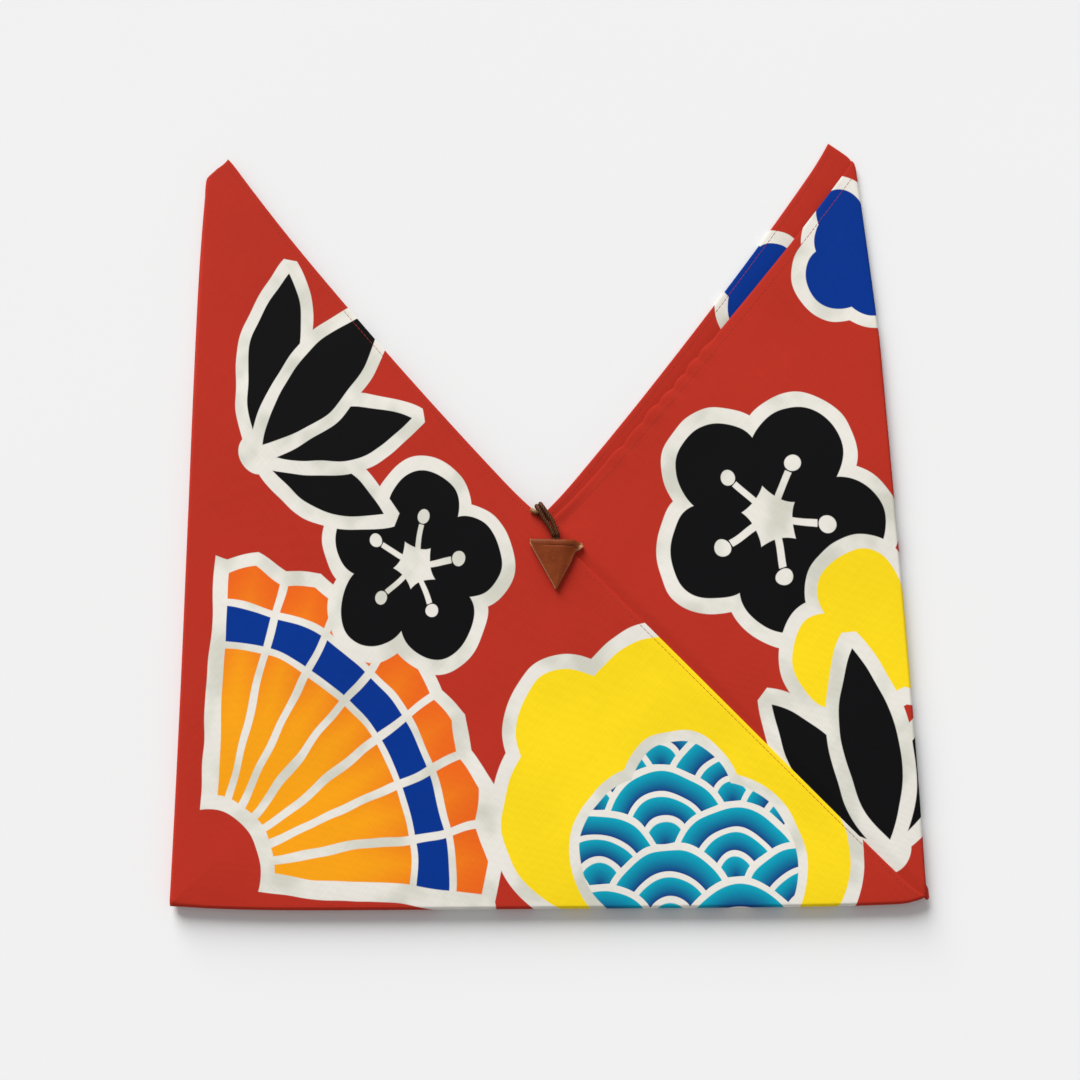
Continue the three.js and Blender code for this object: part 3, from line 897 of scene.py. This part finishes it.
def cloth_mesh(half, material):
    bands = [np.linspace(*band, endpoint=False) for band in ROW_BANDS]
    rows = np.concatenate([HEM_STEPS, BLUNT + SHOULDER_STEPS, *bands, CLOTH_WIDTH + LAP_STEPS])
    lines = []
    for v in rows:
        if v <= CLOTH_WIDTH:
            fold = max(0.0, v - BLUNT)
            end = TO_SEAM_CORNER + (TO_FOLD_CORNER - TO_SEAM_CORNER) * v / CLOTH_WIDTH
        else:
            fold = end = TO_FOLD_CORNER - LAP_SLANT * (v - CLOTH_WIDTH)
        wing = stations(0.0, fold, HEM_STEPS, FOLD_STEPS, WING_STATIONS)
        main = stations(fold, end, HEM_STEPS if v < BLUNT else FOLD_STEPS, FOLD_STEPS, MAIN_STATIONS)
        lines.append(np.concatenate([wing, main[1:]]))
    columns = len(lines[0])
    u, v = np.concatenate(lines), np.repeat(rows, columns)
    faces = grid_faces(len(rows), columns)
    strip_u, strip_v = u, v
    if half is right_half:
        faces = [face[::-1] for face in faces]
        strip_u, strip_v = STRIP_LENGTH - u, CLOTH_WIDTH - v
    made = piece(f"{half.name}_cloth", surface(half, u, v), faces, material)
    lay_print(made, strip_u, strip_v)
    group = made.vertex_groups.new(name="thickness")
    for index, weight in enumerate(thickness(u, v) / HEM):
        group.add((index,), float(weight), "REPLACE")
    shell = bmesh.new()
    shell.from_mesh(made.data)
    bmesh.ops.remove_doubles(shell, verts=shell.verts, dist=WELD)
    bmesh.ops.dissolve_degenerate(shell, edges=shell.edges, dist=WELD)
    low, high = CREASE_LOW.y - BEND_MARGIN, CREASE_HIGH.y + BEND_MARGIN
    ear_bend = [edge for edge in shell.edges if any(low < end.co.y < high for end in edge.verts)]
    bmesh.ops.subdivide_edges(shell, edges=ear_bend, cuts=BEND_CUTS, use_grid_fill=True)
    shell.to_mesh(made.data)
    shell.free()
    settle(made, "SOLIDIFY", thickness=HEM, offset=0.0, vertex_group="thickness", use_rim=True)
    made.vertex_groups.clear()
    made.data.set_sharp_from_angle(angle=CLOTH_SHARP_ANGLE)
    return made


# Print of the cloth, dyed through: bold shapes with broad resist lines on a red ground. Lengths
# here are millimetres along and across the strip.
RED = "#B42F20"
RESIST = "#E6E2D9"
RESIST_DULL = "#CFCEC1"
YELLOW = "#F8D71A"
BLACK = "#0B0A0C"
ORANGE = "#F5A014"
DEEP_ORANGE = "#E8641A"
TEAL = "#08A3BA"
NAVY = "#123C7E"
ROYAL = "#00328A"
OUTLINE = 9.0
SOFT_EDGE = 0.3
TO_MILLIMETRES = (1000, 1000, 1000)


def vector(operation, *values):
    made = node("VectorMath", enumerate(values), operation=operation)
    return made.outputs["Value" if operation in ("LENGTH", "DISTANCE") else "Vector"]


# Strip coordinates seen from the middle of a shape, turned to it
def seen_from(bench, centre, turn=0.0):
    laid = {"Location": (*centre, 0), "Rotation": (0, 0, math.radians(turn)), "Vector": bench.strip}
    return node("Mapping", laid, vector_type="TEXTURE").outputs["Vector"]


def parts_of(place):
    made = node("SeparateXYZ", {0: place})
    return made.outputs[0], made.outputs[1]


def point(x, y):
    return node("CombineXYZ", {0: x, 1: y}).outputs[0]


# Distance from the edge of a round shape, less than nothing inside it
def disc(place, middle, radius):
    return minus(vector("DISTANCE", place, (*middle, 0)), radius)


# Turns a place into its copy in the first of several equal sectors round the middle
def folded_round(place, sectors):
    x, y = parts_of(place)
    reach = vector("LENGTH", place)
    half_sector = math.pi / sectors
    angle = reckon("WRAP", reckon("ARCTAN2", y, x), half_sector, -half_sector)
    return point(times(reach, reckon("COSINE", angle)),
                 times(reach, reckon("SINE", angle))), reach


def inside(distance, edge=0.0):
    return spread(distance, edge - SOFT_EDGE, edge + SOFT_EDGE, 1.0, 0.0)


# Puts a shape on the print: resist line round it, then its own colour
def lay(bench, under, distance, fill, outline=OUTLINE):
    outlined = dye(inside(distance, outline), under, bench.resist)
    return dye(inside(distance), outlined, fill)


# Cloud: round puffs run together, each given by its middle and radius
def cloud(bench, under, fill, *puffs, outline=OUTLINE):
    edges = [disc(bench.strip, middle, radius) for *middle, radius in puffs]
    return lay(bench, under, reduce(nearer, edges), fill, outline)


# Plum blossom: five round petals with a resist eye and stamens
def blossom(bench, under, centre, size, fill, turn=0.0):
    local, reach = folded_round(seen_from(bench, centre, turn), 5)
    petal = disc(local, (0.58 * size, 0), 0.4 * size)
    colour = lay(bench, under, petal, fill)
    x, y = parts_of(local)
    spoke = reckon("MAXIMUM", minus(unsigned(y), 0.03 * size),
                   minus(reach, 0.42 * size))
    bead = disc(local, (0.5 * size, 0), 0.07 * size)
    eye = minus(reach, 0.13 * size)
    return dye(inside(nearer(nearer(spoke, bead), eye)), colour, bench.resist)


# Spray of bamboo leaves: pointed leaves laid one over the next, each given by its heading and length
LEAF_JOINT = 13


def leaves(bench, under, joint, fill, *blades):
    under = dye(inside(disc(bench.strip, joint, LEAF_JOINT)), under, bench.resist)
    for heading, length in blades:
        turn = math.radians(heading)
        middle, half_length, half_width = 0.56 * length, 0.5 * length, 0.16 * length
        centre = (joint[0] + middle * math.cos(turn), joint[1] + middle * math.sin(turn))
        arc = (half_length ** 2 + half_width ** 2) / (2 * half_width)
        x, y = parts_of(seen_from(bench, centre, heading))
        edge = disc(point(x, unsigned(y)), (0, half_width - arc), arc)
        end = minus(unsigned(x), half_length)
        under = lay(bench, under, reckon("MAXIMUM", edge, end), fill)
    return under


# Folding fan: pleated segments parted by resist lines, its colour deepening towards the edge
FAN_RIBS = 7
FAN_OPENING = math.radians(96)
FAN_ZIGZAG = 12.0
FAN_HEART = 0.24
FAN_BAND = 0.8
BAND_WIDTH = 0.055
BAND_OUTLINE = 4.5
RIB_LINE = 2.6


def fan(bench, under, centre, radius, turn):
    place = seen_from(bench, centre, turn)
    x, y = parts_of(place)
    reach = vector("LENGTH", place)
    angle = reckon("ARCTAN2", y, x)
    rib = FAN_OPENING / FAN_RIBS
    pleat = reckon("WRAP", reckon("ADD", angle, FAN_OPENING / 2), rib, 0.0)
    zigzag = unsigned(minus(reckon("DIVIDE", pleat, rib), 0.5))
    edge = reckon("MULTIPLY_ADD", zigzag, FAN_ZIGZAG, minus(reach, radius))
    past_side = minus(unsigned(angle), FAN_OPENING / 2)
    shape = reckon("MAXIMUM", edge, times(past_side, reach))
    shape = reckon("MAXIMUM", shape, minus(FAN_HEART * radius, reach))
    depth = reckon("MULTIPLY_ADD", zigzag, 0.3, reckon("DIVIDE", reach, radius))
    paint = mottle(depth, 0.5, 1.1, ORANGE, DEEP_ORANGE)
    from_band = unsigned(minus(reach, FAN_BAND * radius))
    band = minus(from_band, BAND_WIDTH * radius)
    paint = lay(bench, paint, band, shade(ROYAL), BAND_OUTLINE)
    across_rib = times(reach, rib)
    line = times(minus(0.5, zigzag), across_rib)
    paint = dye(inside(line, RIB_LINE), paint, bench.resist)
    return lay(bench, under, shape, paint)


# Rows of overlapping wave scales, each with rings from teal at its rim to navy at its heart
WAVE_RINGS = (
    (0.0, NAVY), (0.26, TEAL), (0.27, RESIST), (0.345, RESIST), (0.35, NAVY), (0.58, TEAL),
    (0.585, RESIST), (0.655, RESIST), (0.66, NAVY), (0.91, TEAL), (0.915, RESIST), (1.0, RESIST),
)


def waves(bench, centre, size, turn):
    x, y = parts_of(seen_from(bench, centre, turn))
    row = reckon("FLOOR", reckon("DIVIDE", y, size / 2))
    nearest = None
    for behind in (0, -1, -2):
        line = reckon("ADD", row, float(behind))
        shift = times(reckon("FLOORED_MODULO", line, 2.0), size)
        sideways = reckon("WRAP", minus(x, shift), size, -size)
        upward = minus(y, times(line, size / 2))
        reach = vector("LENGTH", point(sideways, upward))
        if nearest is None:
            nearest = reach
        else:
            covers = reckon("LESS_THAN", reach, size)
            nearest = node("Mix", {0: covers, 2: nearest, 3: reach}).outputs[0]
    ramp = node("ValToRGB", {0: reckon("DIVIDE", nearest, size)})
    rings = ramp.color_ramp.elements
    while len(rings) < len(WAVE_RINGS):
        rings.new(0.5)
    for ring, (place, code) in zip(rings, WAVE_RINGS):
        ring.position = place
        ring.color = shade(code)
    return ramp.outputs["Color"]


# Printed cotton: the shapes laid one after another on the red, then the tone and relief of the weave
HAND_SCALE = 0.022
HAND_DRIFT = (9, 9, 9)
STAIN_SCALE = 0.03
YARN_PITCH = 0.95
ALONG_YARN = (0.04, 1.1, 1)
ACROSS_YARN = (1.1, 0.04, 1)
SLUB_TONE = (0.97, 1.03)
CLOUDY_SCALE = 0.009
CLOUDY_TONE = (-0.03, 0.03)
WEAVE_TONE = 0.03


def printed_cotton():
    material, shader = finish_of("printed_cotton", roughness=0.86, gloss=0.1)
    uv = node("UVMap", material=material, uv_map="strip").outputs["UV"]
    flat = vector("MULTIPLY", uv, TO_MILLIMETRES)
    hand = vector("SUBTRACT", noise(flat, HAND_SCALE, 1.0, output="Color"), (0.5, 0.5, 0.5))
    bench = SimpleNamespace(
        strip=vector("ADD", flat, vector("MULTIPLY", hand, HAND_DRIFT)),
        resist=mottle(noise(flat, STAIN_SCALE), 0.42, 0.68, RESIST, RESIST_DULL))

    yellow, black, royal = shade(YELLOW), shade(BLACK), shade(ROYAL)
    colour = cloud(bench, shade(RED), yellow, (483, 110, 60), (545, 77, 64), (484, 39, 56), (549, 16, 48),
                   (593, 44, 44), (443, 84, 40))
    sea = waves(bench, (530, 90), 46, 135)
    colour = cloud(bench, colour, sea, (522, 104, 42), (566, 75, 50), (520, 62, 34), (560, 120, 40),
                   outline=6.0)
    colour = fan(bench, colour, (323, 306), 182, -86)
    colour = blossom(bench, colour, (292, 82), 62, black, 20)
    colour = leaves(bench, colour, (160, 112), black, (-22, 96), (-126, 112), (-56, 108), (-91, 122))
    colour = blossom(bench, colour, (898, 104), 74, black, 0)
    colour = cloud(bench, colour, yellow, (800, 97, 32), (812, 66, 28), (826, 108, 26), (783, 112, 30))
    colour = leaves(bench, colour, (716, 6), black, (-20, 90), (72, 84), (6, 104), (38, 112))
    colour = cloud(bench, colour, royal, (969, 272, 25), (964, 250, 21), (945, 264, 23), (985, 284, 17))
    colour = fan(bench, colour, (770, 318), 150, -70)
    colour = cloud(bench, colour, yellow, (600, 238, 52), (652, 214, 44), (556, 268, 46), (640, 276, 50))
    colour = blossom(bench, colour, (90, 270), 58, black, 35)
    colour = cloud(bench, colour, royal, (889, 336, 20), (906, 322, 16), (876, 316, 21))

    warp, weft = (reckon("SINE", times(part, 2 * math.pi / YARN_PITCH))
                  for part in parts_of(flat))
    weave = times(warp, weft)
    along, across = (noise(vector("MULTIPLY", flat, stretch), 1.0)
                     for stretch in (ALONG_YARN, ACROSS_YARN))
    slub = spread(reckon("ADD", along, across), 0.6, 1.4, *SLUB_TONE)
    cloudy = spread(noise(flat, CLOUDY_SCALE), 0.3, 0.7, *CLOUDY_TONE)
    tone = reckon("MULTIPLY_ADD", weave, WEAVE_TONE, reckon("ADD", slub, cloudy))
    toned = node("HueSaturation", {"Value": tone, "Color": colour})
    coat(shader, toned.outputs["Color"], weave, strength=0.25, depth=0.00012)
    return material


cotton = printed_cotton()
for half in (left_half, right_half):
    side, ear, face, other = half.name, half.ear, half.main_face, half.wing_face
    sheet = cloth_mesh(half, cotton)
    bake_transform(sheet)
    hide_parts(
        f"{face}_main_panel", f"{face}_lap_seam", f"{ear}_{face}", f"{ear}_{face}_hem",
        f"{other}_wing_panel", f"{ear}_{other}", f"{ear}_{other}_hem", f"{side}_fold_front",
        f"{side}_fold_back", f"{ear}_fold_front", f"{ear}_fold_back", f"bottom_fold_{face}")
    half.sheet = sheet


# Seam corner: at the right end of the bottom fold the lap seam's turned cloth sticks out as a small
# tongue, pressed flat and pointing down past the corner.
TONGUE_BASE = (0.2352, 0.0118)
TONGUE_BEND = (0.2385, 0.0078)
TONGUE_TIP = (0.2414, 0.0008)
TONGUE_WIDTHS = (0.0052, 0.0056, 0.0018)
TONGUE_HEIGHTS = (0.0058, 0.0056, 0.0046)
TONGUE_STEP = 0.0005
TONGUE_COLUMNS = 8
TONGUE_CURL = 0.0005
ROUNDED_FROM = 0.9
ROUNDED_LENGTH = 0.11
TONGUE_PRINT = 0.688
TONGUE_PRINT_WIDTH = 0.006
TONGUE_PRINT_LENGTH = 0.03
tongue_line = zip((TONGUE_BASE, TONGUE_BEND, TONGUE_TIP), TONGUE_HEIGHTS)
spine = smooth_path([on_bag(*place, height) for place, height in tongue_line], TONGUE_STEP)
heading = np.gradient(spine, axis=0)
heading /= norm(heading, axis=1)[:, None]
sideways = np.cross(heading, (0, 0, 1))
reached = np.linspace(0, 1, len(spine))
rounded_off = np.sqrt(1 - np.clip(reached - ROUNDED_FROM, 0, 1) / ROUNDED_LENGTH)
half_widths = np.interp(reached, (0, 0.5, 1), TONGUE_WIDTHS) / 2 * rounded_off
tongue_across = np.linspace(-1, 1, TONGUE_COLUMNS + 1)
tongue_places = spine[:, None] + sideways[:, None] * np.outer(half_widths, tongue_across)[..., None]
tongue_places[..., 2] -= TONGUE_CURL * tongue_across ** 2
tongue_faces = [face[::-1] for face in grid_faces(len(spine), len(tongue_across))]
tongue = piece("seam_corner", tongue_places.reshape(-1, 3), tongue_faces, cotton)
lay_print(tongue, np.tile(TONGUE_PRINT + TONGUE_PRINT_WIDTH * tongue_across, len(spine)),
          np.repeat(TONGUE_PRINT_LENGTH * reached, len(tongue_across)))
settle(tongue, "SOLIDIFY", thickness=2 * CLOTH, offset=0.0)
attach(tongue, "pouch")


# Stitching: lock stitches of red thread, about three millimetres long, along every hem and seam.
# Each dips through the cloth at both ends and is half sunk in it between, on both faces.
STITCH = 0.0031
STITCH_GAP = 0.0004
STITCH_SHARES = np.array((0, 0.07, 0.35, 0.65, 0.93, 1))
STITCH_HEIGHTS = np.array((-0.0003, -0.00006, -0.00003, -0.00003, -0.00006, -0.0003))
STITCH_THREAD = 0.00034
MOUTH_STITCH = 0.0037
SEAM_STITCHES = (0.0035, 0.0023)
TIP_CLEARANCE = 0.004
SHOULDER_CLEARANCE = 0.012
CORNER_CLEARANCE = 0.0075
FEELER = 2e-4


# Direction square to the cloth at points of the strip
def outward(half, u, v):
    across_u = surface(half, u + FEELER, v) - surface(half, u - FEELER, v)
    across_v = surface(half, u, v + FEELER) - surface(half, u, v - FEELER)
    square = np.cross(across_u, across_v)
    return square / norm(square, axis=1)[:, None]


# Stitches along a line of the strip, given by its ends
def stitches(name, half, start, end):
    start, end = np.array(start), np.array(end)
    count = int(norm(end - start) / STITCH)
    vertices, faces = [], []
    for i in range(count):
        share = (i + STITCH_SHARES * (1 - STITCH_GAP / STITCH)) / count
        u, v = (start + np.outer(share, end - start)).T
        middle, square = surface(half, u, v), outward(half, u, v)
        proud = thickness(u, v) / 2 + STITCH_HEIGHTS
        for way in (1, -1):
            path = middle + square * (way * proud)[:, None]
            new_vertices, new_faces = tube(path, THREAD_SIDES, even(STITCH_THREAD))
            faces.extend(tuple(len(vertices) + index for index in face) for face in new_faces)
            vertices.extend(new_vertices)
    made = piece(name, vertices, faces, thread)
    return made


for half in (left_half, right_half):
    ear, face, other = half.ear, half.main_face, half.wing_face
    mouth = stitches(f"{ear}_{face}_thread", half, (TIP_CLEARANCE, MOUTH_STITCH),
                     (MOUTH_EDGE, MOUTH_STITCH))
    wing = stitches(f"{ear}_{other}_thread", half, (WING_STITCH, BLUNT + SHOULDER_CLEARANCE),
                    (WING_STITCH, CLOTH_WIDTH))
    for line, where in ((mouth, face), (wing, other)):
        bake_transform(line)
        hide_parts(f"{ear}_{where}_stitching")
    seam = stitches(f"{face}_seam_thread", half, (MOUTH_EDGE, SEAM_STITCHES[0]),
                    (TO_SEAM_CORNER - CORNER_CLEARANCE, SEAM_STITCHES[1]))
    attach(seam, "pouch")
    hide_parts(f"{face}_seam_stitching")


# Table: a plain pale top under an even, soft light that falls from the ear side and a little from
# the left, so that the bag's shadow lies below its bottom fold.
FLOOR_DROP = 0.0004
FLOOR_REACH = 3
TABLE_PALE = "#ECECEC"
TABLE_WHITE = "#EEEEEE"
LIGHT_ELEVATION = 26
LIGHT_FROM_LEFT = 22
LIGHT_SOFTNESS = 40
LIGHT_STRENGTH = 4.75
SKY_STRENGTH = 0.375
pale, shader = finish_of("pale_table", roughness=0.9)
feed(shader["Base Color"], dye(noise(on_piece(pale), 3), shade(TABLE_PALE), shade(TABLE_WHITE)))
corners = ((-1, -1), (1, -1), (1, 1), (-1, 1))
floor = piece("table_top", [(x * FLOOR_REACH, y * FLOOR_REACH, -FLOOR_DROP) for x, y in corners],
              [(0, 1, 2, 3)], pale)

world = bpy.data.worlds.new("studio")
world.use_nodes = True
sky = world.node_tree.nodes["Background"].inputs
sky["Color"].default_value = (1, 1, 1, 1)
sky["Strength"].default_value = SKY_STRENGTH
bpy.context.scene.world = world

light = bpy.data.lights.new("soft_light", "SUN")
light.energy = LIGHT_STRENGTH
light.angle = math.radians(LIGHT_SOFTNESS)
soft_light = put("soft_light", light)
elevation, turn = math.radians(LIGHT_ELEVATION), math.radians(LIGHT_FROM_LEFT)
level = math.cos(elevation)
towards = Vector((math.sin(turn) * level, -math.cos(turn) * level, -math.sin(elevation)))
soft_light.rotation_euler = towards.to_track_quat("-Z", "Y").to_euler()
bpy.context.scene.view_settings.view_transform = "Standard"
